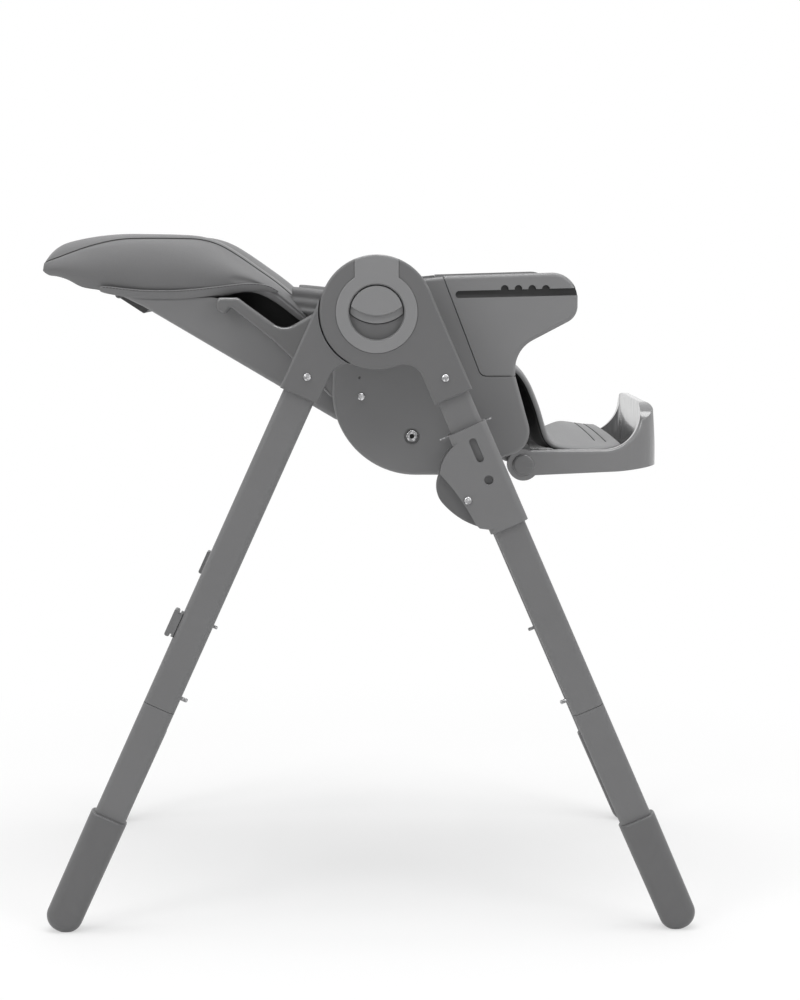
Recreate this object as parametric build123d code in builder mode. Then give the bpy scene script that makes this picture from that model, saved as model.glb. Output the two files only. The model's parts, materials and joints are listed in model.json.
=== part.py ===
import os
from math import cos, radians, sin, sqrt

from build123d import *

os.makedirs("parts", exist_ok=True)

# Folding baby high chair, millimetres and degrees. X is forward, Y to the child's left, Z up, floor at Z 0.
# Sided pieces are drawn on the child's right, at minus Y, and mirrored for the left.
hub_x = 10.9  # the hub axis stands a little ahead of the middle of the footprint
hub_z = 765
front_lean = 23.5
rear_lean = 24.4
leg_y = 250  # middle plane of the legs
leg_offset = 44  # leg axis to hub axis, square to the leg

tube_width = 40
tube_depth = 22
tube_corner = 7
tube_wall = 1.6
tube_top = 78  # distances down a leg from the hub axis
tube_joint = 550
spigot_top = 490
spigot_play = 0.3
tube_gap = 0.6  # the line between upper and lower tube
foot_rim = 702
socket_end = 130
socket_screw = 105
crossbar_at = 516
snap_at = 530

socket_width = 49
disc_radius = leg_offset + socket_width / 2
disc_inner = 248  # distances out from the middle of the chair
bracket_outer = 270
bracket_inner = 232
rear_plate_inner = 226
rear_plate_outer = 246
rear_socket_outer = 268
hub_gap = 1.5
neck_fillet = 24
bolt_radius = 8
trim_radius = 49
finger_radius = 33
trim_depth = 4

foot_width = 47
foot_shift = 1  # the caps stand out a little more at the outer edge of the legs
foot_depth = 32
foot_end_radius = 21
foot_flat = 2.5  # depth of the round end that the flat sole takes off
foot_corner = 12
foot_lip = 2
foot_pocket = 92

seat_half = 180
seat_wall = 6
rail_inner = 164
rail_outer = 178
arm_inner = 162
arm_outer = 173.8
back_half = 150
cushion_half = 154
back_pivot = (-19, 658)  # from the hub axis, and height
back_slope = 30.6  # the back reclined, above the floor
foot_pivot = (187, 568)
foot_half = 132
axle_radius = 5
pin_radius = 4
screw_head = 5
screw_rise = 2.6
screw_shank = 2.4
cross_slot = (5, 1.2)
cross_depth = 1.4
running = 0.05  # radial play of a turning fit
slide_play = 0.4  # play of the collars on the legs


# The chair from its right side: x from the hub axis, y up from the floor
side_view = Plane((hub_x, 0, 0), x_dir=(1, 0, 0), z_dir=(0, -1, 0))
back_view = Plane(
    (hub_x + back_pivot[0], 0, back_pivot[1]),
    x_dir=(cos(radians(back_slope)), 0, -sin(radians(back_slope))),
    z_dir=(0, -1, 0),
)  # the back from the same side: x down the back from its pivot, y out of its front face


def leg_view(front):
    """A leg from the right side: x across it, y up it, from the hub axis."""
    lean = radians(front_lean if front > 0 else rear_lean)
    return Plane((hub_x, 0, hub_z), x_dir=(cos(lean), 0, front * sin(lean)), z_dir=(0, -1, 0))


def leg_section(front, down):
    """A cut square across the right leg, down from the hub: x across the leg, y sideways."""
    view = leg_view(front)
    centre = view.from_local_coords((front * leg_offset, -down, leg_y))
    return Plane(centre, x_dir=view.x_dir, z_dir=-view.y_dir)


def outline(*corners):
    """A flat outline from corners (x, y, fillet radius)."""
    with BuildSketch() as drawn:
        Polygon(*[(x, y) for x, y, _ in corners], align=None)
        for x, y, radius in corners:
            if radius:
                fillet(drawn.vertices().sort_by_distance((x, y))[0], radius)
    return drawn.sketch


def away_from(spots, distance=12):
    """A test for edges whose middle is clear of the given places."""
    return lambda edge: min((edge.center() - spot).length for spot in spots) > distance


def export(part, name):
    part.label = name
    export_step(part, f"parts/{name}.step")


def export_pair(right, name):
    export(right, f"{name}_right")
    with BuildPart() as left:
        mirror(right, about=Plane.XZ)
    export(left.part, f"{name}_left")


# Hub brackets

def bracket_outline(front):
    """Disc round the hub with a leg socket that leaves it on a tangent, and a filleted neck."""
    inner_edge = disc_radius - socket_width
    neck_x = inner_edge - neck_fillet
    neck_y = -sqrt((disc_radius + neck_fillet) ** 2 - neck_x**2)
    touch = disc_radius / (disc_radius + neck_fillet)
    slant = disc_radius * sqrt(0.5)
    with BuildSketch() as drawn:
        with BuildLine():
            outer = Line((front * disc_radius, 0), (front * disc_radius, -socket_end))
            end = Line(outer @ 1, (front * inner_edge, -socket_end))
            inner = Line(end @ 1, (front * inner_edge, neck_y))
            RadiusArc(inner @ 1, (front * neck_x * touch, neck_y * touch), -front * neck_fillet)
            ThreePointArc((front * neck_x * touch, neck_y * touch), (-front * slant, slant), outer @ 0)
        make_face()
    return drawn.sketch


front_outline = bracket_outline(1)
rear_outline = bracket_outline(-1)
trim_tab_half = 26.5

with BuildSketch() as trim_outline:
    Circle(trim_radius)
    with Locations((0, disc_radius)):
        Rectangle(2 * trim_tab_half, 2 * disc_radius)
    Circle(disc_radius, mode=Mode.INTERSECT)
    Circle(finger_radius + 1, mode=Mode.SUBTRACT)

finger_step = 262  # the finger hole is shallow below and deep behind the paddle
finger_floor = 254
step_radius = 48
step_low = 14.7
hub_centre = (0, hub_z)
paddle_axis = (hub_z + 22, 261.5)  # height, and distance out
trunnion_radius = 2
trunnion_half = 28

with BuildPart() as front_bracket:
    with BuildSketch(leg_view(1).offset(disc_inner)):
        add(front_outline)
    extrude(amount=bracket_outer - disc_inner)
    fillet(front_bracket.faces().sort_by(Axis.Y)[0].edges(), 3)
    with BuildSketch(leg_view(1).offset(bracket_inner)):
        add(front_outline)
        Circle(disc_radius + hub_gap, mode=Mode.SUBTRACT)
    extrude(amount=disc_inner - bracket_inner)
    with BuildSketch(leg_section(1, tube_top)):
        RectangleRounded(tube_width, tube_depth, tube_corner)
    extrude(amount=socket_end, mode=Mode.SUBTRACT)
    with BuildSketch(side_view.offset(bracket_outer - trim_depth)):
        with Locations(hub_centre):
            Circle(trim_radius + 0.4)
            with Locations((0, disc_radius)):
                Rectangle(2 * trim_tab_half + 0.8, 2 * disc_radius)
    extrude(amount=trim_depth, mode=Mode.SUBTRACT)
    with BuildSketch(side_view.offset(finger_step)):
        with Locations(hub_centre):
            Circle(finger_radius)
    extrude(amount=bracket_outer - finger_step, mode=Mode.SUBTRACT)
    with BuildSketch(side_view.offset(finger_floor)):
        with Locations(hub_centre):
            Circle(finger_radius)
            with Locations((0, step_radius - step_low)):
                Circle(step_radius, mode=Mode.INTERSECT)
    extrude(amount=finger_step - finger_floor, mode=Mode.SUBTRACT)
    with BuildSketch(Plane.YZ.offset(hub_x)):
        with Locations((-paddle_axis[1], paddle_axis[0])):
            Circle(trunnion_radius + running)
    extrude(amount=trunnion_half + 0.5, both=True, mode=Mode.SUBTRACT)
    with BuildSketch(side_view.offset(disc_inner)):
        with Locations(hub_centre):
            Circle(bolt_radius)
    extrude(amount=finger_floor - disc_inner, mode=Mode.SUBTRACT)
    with BuildSketch(leg_view(1).offset(leg_y)):
        with Locations((leg_offset, -socket_screw)):
            Circle(screw_shank)
    extrude(amount=bracket_outer - leg_y, mode=Mode.SUBTRACT)
export_pair(front_bracket.part, "front_bracket")

with BuildPart() as rear_bracket:
    with BuildSketch(leg_view(-1).offset(bracket_inner)):
        add(rear_outline)
    extrude(amount=rear_plate_outer - bracket_inner)
    with BuildSketch(leg_view(-1).offset(rear_plate_inner)):
        Circle(disc_radius)
    extrude(amount=bracket_inner - rear_plate_inner)
    with BuildSketch(leg_view(-1).offset(rear_plate_outer)):
        add(rear_outline)
        Circle(disc_radius + hub_gap, mode=Mode.SUBTRACT)
    extrude(amount=rear_socket_outer - rear_plate_outer)
    outer_edges = rear_bracket.faces().sort_by(Axis.Y)[0].edges()
    fillet(outer_edges.filter_by(GeomType.LINE), 3)
    with BuildSketch(leg_section(-1, tube_top)):
        RectangleRounded(tube_width, tube_depth, tube_corner)
    extrude(amount=socket_end, mode=Mode.SUBTRACT)
    with BuildSketch(side_view.offset(rear_plate_inner)):
        with Locations(hub_centre):
            Circle(bolt_radius + running)
    extrude(amount=rear_plate_outer - rear_plate_inner, mode=Mode.SUBTRACT)
    with BuildSketch(leg_view(-1).offset(leg_y)):
        with Locations((-leg_offset, -socket_screw)):
            Circle(screw_shank)
    extrude(amount=bracket_outer - leg_y, mode=Mode.SUBTRACT)
export_pair(rear_bracket.part, "rear_bracket")

bolt_face = 219.5
bolt_head = 16
bolt_seat = rear_plate_inner - 0.5
hex_key = 5

with BuildPart() as hub_bolts:
    with BuildSketch(side_view.offset(bolt_face)):
        with Locations(hub_centre):
            Circle(bolt_head)
    extrude(amount=bolt_seat - bolt_face)
    fillet(hub_bolts.faces().sort_by(Axis.Y)[-1].edges(), 2)
    with BuildSketch(side_view.offset(bolt_face)):
        with Locations(hub_centre):
            RegularPolygon(hex_key, 6)
    extrude(amount=3, mode=Mode.SUBTRACT)
    with BuildSketch(side_view.offset(bolt_seat)):
        with Locations(hub_centre):
            Circle(bolt_radius)
    extrude(amount=finger_floor - 1.5 - bolt_seat)
    mirror(about=Plane.XZ)
export(hub_bolts.part, "hub_bolts")

with BuildPart() as hub_trim:
    with BuildSketch(side_view.offset(bracket_outer - trim_depth)):
        with Locations(hub_centre):
            add(trim_outline.sketch)
    extrude(amount=trim_depth + 1)
    fillet(hub_trim.faces().sort_by(Axis.Y)[0].edges().sort_by(Axis.Z)[-1], 2.5)
    fillet(hub_trim.faces().sort_by(Axis.Y)[0].edges().sort_by(Axis.Z)[:-1], 0.8)
export_pair(hub_trim.part, "hub_trim")

# Fold release paddle, a half disc on two trunnions that fills the top of the finger hole, with a skirt set back below

paddle_radius = finger_radius - 1.5
paddle_low = -4
paddle_back = 264
skirt_low = -13.5
skirt_back = 262
skirt_thickness = 2.5
paddle_web = (3, 4)
paddle_web_half = 20

with BuildPart() as fold_paddle:
    with BuildSketch(side_view.offset(paddle_back)):
        with Locations(hub_centre):
            Circle(paddle_radius)
            with Locations((0, paddle_low + step_radius)):
                Circle(step_radius, mode=Mode.INTERSECT)
    extrude(amount=bracket_outer - paddle_back + 0.5)
    fillet(fold_paddle.faces().sort_by(Axis.Y)[0].edges(), 1.2)
    with BuildSketch(side_view.offset(skirt_back)):
        with Locations(hub_centre):
            Circle(paddle_radius)
            with Locations((0, skirt_low + step_radius)):
                Circle(step_radius, mode=Mode.INTERSECT)
    extrude(amount=skirt_thickness)
    with BuildSketch(Plane.YZ.offset(hub_x)):
        with Locations((-paddle_axis[1], paddle_axis[0])):
            Circle(trunnion_radius)
    extrude(amount=trunnion_half, both=True)
    with BuildSketch(Plane.YZ.offset(hub_x)):
        with Locations((-paddle_axis[1] - paddle_web[0] / 2, paddle_axis[0])):
            Rectangle(*paddle_web)
    extrude(amount=paddle_web_half, both=True)
export_pair(fold_paddle.part, "fold_paddle")

# Legs: upper and lower tubes, foot caps, crossbars

def upper_tube(front):
    """Rounded rectangular tube with a hole for the snap button on its inner edge."""
    with BuildPart() as tube:
        with BuildSketch(leg_section(front, tube_top)):
            RectangleRounded(tube_width, tube_depth, tube_corner)
            RectangleRounded(
                tube_width - 2 * tube_wall, tube_depth - 2 * tube_wall, tube_corner - tube_wall,
                mode=Mode.SUBTRACT,
            )
        extrude(amount=tube_joint - tube_top)
        add(snap_hole(front), mode=Mode.SUBTRACT)
    return tube.part


snap_radius = 2.5
snap_reach = 8.5  # how far a button stands out of the tube
snap_flange = 5


def snap_plane(front):
    """Across a leg at its snap button: z points out of the inner edge, from the leg axis."""
    section = leg_section(front, snap_at)
    return Plane(section.origin, x_dir=section.z_dir, z_dir=-front * section.x_dir)


def snap_hole(front):
    with BuildPart() as hole:
        with BuildSketch(snap_plane(front)):
            Circle(snap_radius + running)
        extrude(amount=tube_width)
    return hole.part


def snap_button(front):
    """Domed pin on a flange that waits behind the spigot's wall."""
    spigot_face = tube_width / 2 - 2 * tube_wall - 0.3
    with BuildPart() as button:
        with BuildSketch(snap_plane(front).offset(spigot_face - 2.5)):
            Circle(snap_flange)
        extrude(amount=2)
        with BuildSketch(snap_plane(front).offset(spigot_face - 0.5)):
            Circle(snap_radius)
        extrude(amount=tube_width / 2 + snap_reach - spigot_face + 0.5)
        tip = button.edges().filter_by(GeomType.CIRCLE).sort_by_distance(
            snap_plane(front).offset(tube_width / 2 + snap_reach).origin
        )[0]
        fillet(tip, 1.8)
    return button.part


def lower_tube(front):
    """Leg end of the same section, with a spigot that plugs into the tube above."""
    bore_width = tube_width - 2 * tube_wall
    bore_depth = tube_depth - 2 * tube_wall
    spigot_width = bore_width - 2 * spigot_play
    spigot_depth = bore_depth - 2 * spigot_play
    shoulder = tube_joint + 12
    with BuildPart() as tube:
        with BuildSketch(leg_section(front, tube_joint + tube_gap)):
            RectangleRounded(tube_width, tube_depth, tube_corner)
        extrude(amount=foot_rim + foot_pocket - 2 - tube_joint)
        with BuildSketch(leg_section(front, spigot_top)):
            RectangleRounded(spigot_width, spigot_depth, tube_corner - tube_wall - spigot_play)
        extrude(amount=shoulder - 2 - spigot_top)
        with BuildSketch(leg_section(front, spigot_top)):
            RectangleRounded(
                spigot_width - 2 * tube_wall, spigot_depth - 2 * tube_wall, tube_corner - 2 * tube_wall,
            )
        extrude(amount=shoulder - spigot_top, mode=Mode.SUBTRACT)
        with BuildSketch(leg_section(front, shoulder)):
            RectangleRounded(bore_width, bore_depth, tube_corner - tube_wall)
        extrude(amount=foot_rim + foot_pocket - tube_joint, mode=Mode.SUBTRACT)
        add(snap_hole(front), mode=Mode.SUBTRACT)
    return tube.part


def foot(front):
    """Round-ended cap with a flat sole on the floor and a pocket for the tube."""
    lean = radians(front_lean if front > 0 else rear_lean)
    foot_centre = leg_offset + foot_shift
    centre_rise = hub_z + foot_centre * sin(lean)
    end_inset = foot_width / 2 - foot_end_radius
    low = centre_rise - end_inset * sin(lean) - (foot_end_radius - foot_flat)
    foot_end = low / cos(lean) + foot_end_radius
    left = front * foot_centre - foot_width / 2
    right = front * foot_centre + foot_width / 2
    shape = outline(
        (left, -foot_rim, 0), (right, -foot_rim, 0),
        (right - 1, -foot_end, foot_end_radius), (left + 1, -foot_end, foot_end_radius),
    )
    with BuildPart() as cap:
        with BuildSketch(leg_view(front).offset(leg_y - foot_depth / 2)):
            add(shape)
        extrude(amount=foot_depth)
        rim = leg_section(front, foot_rim)
        rounded = cap.faces().filter_by(Axis.Y).edges()
        fillet(rounded.filter_by(lambda edge: rim.to_local_coords(edge.center()).Z > 1), foot_corner)
        lip = cap.edges().filter_by(lambda edge: abs(rim.to_local_coords(edge.center()).Z) < 0.1)
        fillet(lip, foot_lip)
        split(bisect_by=Plane.XY, keep=Keep.TOP)
        with BuildSketch(rim):
            RectangleRounded(tube_width + 0.2, tube_depth + 0.2, tube_corner)
        extrude(amount=foot_pocket, mode=Mode.SUBTRACT)
    return cap.part


bar_radius = 11
bar_bore = 9.4
flange_size = 34
flange_thickness = 3


def crossbar(front):
    """Round tube between the two legs of a frame, with a flange welded to each."""
    section = leg_section(front, crossbar_at)
    reach = leg_y - tube_depth / 2
    middle = Plane((section.origin.X, 0, section.origin.Z), x_dir=section.x_dir, z_dir=(0, -1, 0))
    with BuildPart() as bar:
        with BuildSketch(middle):
            Circle(bar_radius)
            Circle(bar_bore, mode=Mode.SUBTRACT)
        extrude(amount=reach)
        with BuildSketch(middle.offset(reach - flange_thickness)):
            RectangleRounded(flange_size, flange_size, 5)
            Circle(bar_bore, mode=Mode.SUBTRACT)
        extrude(amount=flange_thickness)
        mirror(about=Plane.XZ)
    return bar.part


def screw(place, length):
    """Domed cross-head screw; the plane's origin is under the head and z points out."""
    with BuildPart() as shape:
        with BuildSketch(place):
            Circle(screw_head)
        extrude(amount=screw_rise)
        fillet(shape.faces().sort_by(Axis(place.origin, place.z_dir))[-1].edges(), 2.2)
        with BuildSketch(place.offset(screw_rise - cross_depth)):
            Rectangle(*cross_slot)
            Rectangle(*cross_slot, rotation=90)
        extrude(amount=screw_rise, mode=Mode.SUBTRACT)
        with BuildSketch(place):
            Circle(screw_shank)
        extrude(amount=-length)
    return shape.part


def socket_screw_plane(front, out):
    view = leg_view(front).offset(out)
    return Plane(view.from_local_coords((front * leg_offset, -socket_screw, 0)), z_dir=(0, -1, 0))


for side, name in ((1, "front"), (-1, "rear")):
    face = bracket_outer if side > 0 else rear_socket_outer
    export_pair(upper_tube(side), f"{name}_tube")
    export_pair(lower_tube(side), f"{name}_lower_tube")
    export_pair(foot(side), f"{name}_foot")
    export_pair(snap_button(side), f"{name}_snap_button")
    export(crossbar(side), f"{name}_crossbar")
    leg_screw = screw(socket_screw_plane(side, face), face - leg_y - tube_depth / 2 - 0.5)
    with BuildPart() as leg_screws:
        add(leg_screw)
        mirror(about=Plane.XZ)
    export(leg_screws.part, f"{name}_leg_screws")

# Tray storage peg on the back edge of a rear leg: foot plate, neck and a wider outer plate

peg_at = 447
peg_half_depth = 8
peg_foot = (3, 32)
peg_neck = (5.2, 26)
peg_plate = (6.4, 35)
tube_back = -leg_offset - tube_width / 2
peg_plate_inner = tube_back - peg_neck[0] + 0.4

with BuildPart() as tray_peg:
    with BuildSketch(leg_view(-1).offset(leg_y - peg_half_depth)):
        with Locations((tube_back - peg_foot[0] / 2, -peg_at)):
            Rectangle(*peg_foot)
        with Locations((tube_back - peg_neck[0] / 2, -peg_at)):
            Rectangle(*peg_neck)
        with Locations((peg_plate_inner - peg_plate[0] / 2, -peg_at)):
            RectangleRounded(*peg_plate, 2.5)
    extrude(amount=2 * peg_half_depth)
export_pair(tray_peg.part, "tray_peg")

# Seat shell: two side walls, a pan between them and an apron down the front

seat_profile = outline(
    (-55, 560, 104), (85, 560, 60), (198, 594, 30), (173, 683, 0), (129.5, 683, 10), (82, 806.5, 0),
    (-70, 791, 12), (-55, 715, 20),
)
pan_profile = outline((5, 645, 0), (150, 661, 0), (178, 661, 0), (174, 680, 6), (160, 671, 0), (5, 652, 2))
stretcher_at = (44, 609)
stretcher_radius = 9
stretcher_bolt = 4
bolt_recess = 2.5
cover_screw_at = (-21, 682)
lug_inner = 98
lug_outer = 114
tray_seam = ((150, 683), (106, 745), (131, 686))

with BuildPart() as seat_shell:
    with BuildSketch(side_view.offset(seat_half - seat_wall)):
        add(seat_profile)
    extrude(amount=seat_wall)
    wall_edges = seat_shell.faces().sort_by(Axis.Y)[0].edges()
    seam = [Vector(hub_x + x, -seat_half, z) for x, z in tray_seam]
    fillet(wall_edges.filter_by(away_from(seam)), 5)
    with BuildSketch(side_view):
        add(pan_profile)
    extrude(amount=seat_half - seat_wall)
    with BuildSketch(side_view):
        add(seat_profile)
        with Locations((-5, 0)):
            add(seat_profile, mode=Mode.SUBTRACT)
        with Locations((190, 630)):
            Rectangle(60, 104, mode=Mode.INTERSECT)
    extrude(amount=seat_half - seat_wall)
    with BuildSketch(side_view.offset(lug_inner)):
        add(outline((150, 588, 0), (181, 602, 0), (196, 590, 6), (203, 568, 0), (171, 568, 0)))
        with Locations(foot_pivot):
            Circle(16)
            Circle(axle_radius, mode=Mode.SUBTRACT)
    extrude(amount=lug_outer - lug_inner)
    with BuildSketch(side_view.offset(seat_half - seat_wall)):
        with Locations(back_pivot):
            Circle(pin_radius)
        with Locations(stretcher_at):
            Circle(stretcher_bolt)
        with Locations(cover_screw_at):
            Circle(1.6)
    extrude(amount=seat_wall, mode=Mode.SUBTRACT)
    with BuildSketch(side_view.offset(seat_half - bolt_recess)):
        with Locations(stretcher_at):
            Circle(10)
    extrude(amount=3, mode=Mode.SUBTRACT)
    mirror(about=Plane.XZ)
export(seat_shell.part, "seat_shell")

cover_thickness = 4

with BuildPart() as under_cover:
    with BuildSketch(side_view):
        add(seat_profile)
        with Locations((0, cover_thickness)):
            add(seat_profile, mode=Mode.SUBTRACT)
        with Locations((67, 580)):
            Rectangle(184, 60, mode=Mode.INTERSECT)
    extrude(amount=seat_half - seat_wall - 0.2)
    with BuildSketch(side_view.offset(lug_inner - 1)):
        with Locations((180, 590)):
            Rectangle(70, 40)
    extrude(amount=lug_outer - lug_inner + 2, mode=Mode.SUBTRACT)
    mirror(about=Plane.XZ)
export(under_cover.part, "under_cover")

with BuildPart() as stretcher:
    with BuildSketch(side_view):
        with Locations(stretcher_at):
            Circle(stretcher_radius)
            Circle(stretcher_bolt, mode=Mode.SUBTRACT)
    extrude(amount=seat_half - seat_wall)
    mirror(about=Plane.XZ)
export(stretcher.part, "seat_stretcher")

stretcher_bolt_length = 40

with BuildPart() as stretcher_bolts:
    with BuildSketch(side_view.offset(seat_half - bolt_recess)):
        with Locations(stretcher_at):
            Circle(7.5)
    extrude(amount=4)
    fillet(stretcher_bolts.faces().sort_by(Axis.Y)[0].edges(), 2)
    with BuildSketch(side_view.offset(seat_half - 1)):
        with Locations(stretcher_at):
            RegularPolygon(3, 6)
    extrude(amount=4, mode=Mode.SUBTRACT)
    with BuildSketch(side_view.offset(seat_half - stretcher_bolt_length)):
        with Locations(stretcher_at):
            Circle(stretcher_bolt)
    extrude(amount=stretcher_bolt_length - bolt_recess)
    mirror(about=Plane.XZ)
export(stretcher_bolts.part, "stretcher_bolts")

# Tray rails: slotted cheeks at the front of the seat, with half-round notches over the slot

rail_profile = outline(
    (83, 807.5, 0), (250, 812.5, 32), (250, 757, 22), (173, 716.5, 40), (173, 684, 0), (130.3, 684, 10),
)
slot_height = 9
slot_depth = 9
slot_tilt = 1.4
slot_length = 200
slot_middle = (198, 786.9)
notch_height = 791.5
notch_radius = 4.8
notch_first = 159
notch_step = 17
notch_count = 4

with BuildPart() as tray_rail:
    with BuildSketch(side_view.offset(rail_inner)):
        add(rail_profile)
    extrude(amount=rail_outer - rail_inner)
    rail_edges = tray_rail.faces().sort_by(Axis.Y)[0].edges()
    rail_seam = [Vector(hub_x + x, -rail_outer, z) for x, z in tray_seam]
    fillet(rail_edges.filter_by(away_from(rail_seam)), 5)
    with BuildSketch(side_view.offset(rail_outer - slot_depth)):
        with Locations(Location((*slot_middle, 0), (0, 0, slot_tilt))):
            SlotOverall(slot_length, slot_height)
        with Locations([(notch_first + step * notch_step, notch_height) for step in range(notch_count)]):
            Circle(notch_radius)
    extrude(amount=slot_depth, mode=Mode.SUBTRACT)
export_pair(tray_rail.part, "tray_rail")

# Side arms: hooked horns behind the seat, with the back's pivot in their roots

arm_profile = outline(
    (-199, 781, 6), (-199, 766, 6), (-188, 759.5, 5), (-180, 768, 2), (-166, 757, 3), (-128, 727, 40),
    (-60, 660, 15), (-32, 640, 12), (-4, 640, 10), (-4, 775, 10), (-48, 778, 15), (-116, 740, 22),
    (-172, 781, 8),
)

with BuildPart() as side_arm:
    with BuildSketch(side_view.offset(arm_inner)):
        add(arm_profile)
    extrude(amount=arm_outer - arm_inner)
    arm_rim = side_arm.faces().sort_by(Axis.Y)[0].edges()
    fillet(arm_rim.filter_by(lambda edge: edge.center().X < hub_x - 65), 5)
    with BuildSketch(side_view.offset(arm_inner)):
        with Locations(back_pivot):
            Circle(pin_radius)
    extrude(amount=arm_outer - arm_inner, mode=Mode.SUBTRACT)
export_pair(side_arm.part, "side_arm")

hinge_depth = 15  # depth of the pin's hole in the back

with BuildPart() as hinge_pins:
    pin_place = Plane(side_view.offset(seat_half).from_local_coords((*back_pivot, 0)), z_dir=(0, -1, 0))
    add(screw(pin_place, 1))
    with BuildSketch(pin_place):
        Circle(pin_radius)
    extrude(amount=-(seat_half - back_half + hinge_depth - 1))
    mirror(about=Plane.XZ)
export(hinge_pins.part, "back_hinge_pins")

# Leg collars: sleeves on the front legs, with a cheeked housing for the trigger and a bridge to the seat

collar_top = 171
collar_end = 302
collar_half_depth = 17
cheek = 5.5
trigger_pivot = (10.4, -252)
trigger_screw_radius = 3
trigger_play = 0.5
collar_slot_at = -200
collar_hole_at = -239
bridge_at = -190
bridge_size = (34, 26)

with BuildSketch() as housing_outline:
    with BuildLine():
        shoulder = ThreePointArc((30, -183), (8, -191), (-8, -209))
        flank = ThreePointArc(shoulder @ 1, (1.5, -241), (7.4, -283))
        Polyline(flank @ 1, (10, -289), (20, -295), (40, -298), shoulder @ 0)
    make_face()
with BuildSketch() as trigger_outline:
    with BuildLine():
        back = Spline((-6, -208), (-15.2, -217.2), (-20.6, -234), (-16.4, -251), (-5.5, -271), (8, -286))
        Polyline(back @ 1, (13, -284), (15, -272), (4, -215), back @ 0)
    make_face()

with BuildPart() as collar:
    with BuildSketch(leg_section(1, collar_top)):
        RectangleRounded(socket_width, 2 * collar_half_depth, 8)
    extrude(amount=collar_end - collar_top)
    with BuildSketch(leg_view(1).offset(leg_y - collar_half_depth)):
        add(housing_outline.sketch)
    extrude(amount=2 * collar_half_depth)
    with BuildSketch(leg_view(1).offset(leg_y - collar_half_depth + cheek)):
        with Locations((leg_offset - socket_width / 2 - 40, -240)):
            Rectangle(80, 116)
    extrude(amount=2 * (collar_half_depth - cheek), mode=Mode.SUBTRACT)
    with BuildSketch(leg_section(1, collar_top - 1)):
        RectangleRounded(tube_width + 2 * slide_play, tube_depth + 2 * slide_play, tube_corner)
    extrude(amount=collar_end - collar_top + 2, mode=Mode.SUBTRACT)
    with BuildSketch(leg_view(1).offset(leg_y + tube_depth / 2 + slide_play)):
        with Locations(Location((leg_offset, collar_slot_at, 0), (0, 0, 90))):
            SlotOverall(31, 9)
        with Locations((leg_offset - 0.5, collar_hole_at)):
            Circle(5.6)
    extrude(amount=collar_half_depth, mode=Mode.SUBTRACT)
    with BuildSketch(leg_view(1).offset(leg_y - collar_half_depth)):
        with Locations(trigger_pivot):
            Circle(trigger_screw_radius)
    extrude(amount=2 * collar_half_depth, mode=Mode.SUBTRACT)
    with BuildSketch(leg_view(1).offset(seat_half)):
        with Locations((leg_offset, bridge_at)):
            RectangleRounded(*bridge_size, 5)
    extrude(amount=leg_y - collar_half_depth - seat_half)
export_pair(collar.part, "leg_collar")

clip_size = (69, 1.8)
clip_depth = 3

with BuildPart() as collar_clips:
    with BuildSketch(leg_view(1).offset(leg_y - collar_half_depth - clip_depth)):
        with Locations((leg_offset - 1, -collar_top - 3.2)):
            Rectangle(*clip_size)
    extrude(amount=clip_depth)
    mirror(about=Plane.XZ)
export(collar_clips.part, "collar_clips")

with BuildPart() as height_trigger:
    with BuildSketch(leg_view(1).offset(leg_y - collar_half_depth + cheek + trigger_play)):
        add(trigger_outline.sketch)
        with Locations(trigger_pivot):
            Circle(6)
            Circle(trigger_screw_radius + running, mode=Mode.SUBTRACT)
    extrude(amount=2 * (collar_half_depth - cheek - trigger_play))
    grip = height_trigger.edges().filter_by(lambda edge: edge.center().X < hub_x + 100)
    fillet(grip.filter_by(Axis.Y, reverse=True), 2)
export_pair(height_trigger.part, "height_trigger")

with BuildPart() as trigger_screws:
    trigger_place = Plane(
        leg_view(1).offset(leg_y + collar_half_depth).from_local_coords((*trigger_pivot, 0)), z_dir=(0, -1, 0)
    )
    add(screw(trigger_place, 1))
    with BuildSketch(trigger_place):
        Circle(trigger_screw_radius)
    extrude(amount=-2 * collar_half_depth)
    mirror(about=Plane.XZ)
export(trigger_screws.part, "trigger_screws")

# Back shell: a tray that narrows to the head, with lugs for the recline lever

back_profile = outline(
    (16, 13, 0), (14, -18, 8), (-8, -43, 14), (-290, -43, 0), (-343, -47, 0), (-338, -42, 0), (-276, -24, 40),
    (-217, 15, 40),
)
back_hollow = outline((-14, -38, 8), (-292, -38, 60), (-326, -42, 0), (-326, 80, 0), (-14, 80, 0))
lever_pin = (-334, -52.5)
lever_half = 45
lever_lug = 7
lever_pin_radius = 2.5
lug_radius = 5

with BuildPart() as back_shell:
    with BuildSketch(back_view):
        add(back_profile)
    extrude(amount=back_half)
    fillet(back_shell.faces().sort_by(Axis.Y)[0].edges().sort_by(SortBy.LENGTH)[-1], 7)
    with BuildSketch(back_view):
        add(back_hollow)
    extrude(amount=back_half - 5, mode=Mode.SUBTRACT)
    with BuildSketch(back_view.offset(lever_half + 0.5)):
        with Locations(lever_pin):
            Circle(lug_radius)
        with Locations((lever_pin[0], lever_pin[1] + 4)):
            Rectangle(2 * lug_radius, 8)
        with Locations(lever_pin):
            Circle(lever_pin_radius + running, mode=Mode.SUBTRACT)
    extrude(amount=lever_lug)
    with BuildSketch(back_view.offset(back_half - hinge_depth)):
        Circle(pin_radius + running)
    extrude(amount=hinge_depth, mode=Mode.SUBTRACT)
    mirror(about=Plane.XZ)
export(back_shell.part, "back_shell")

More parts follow.
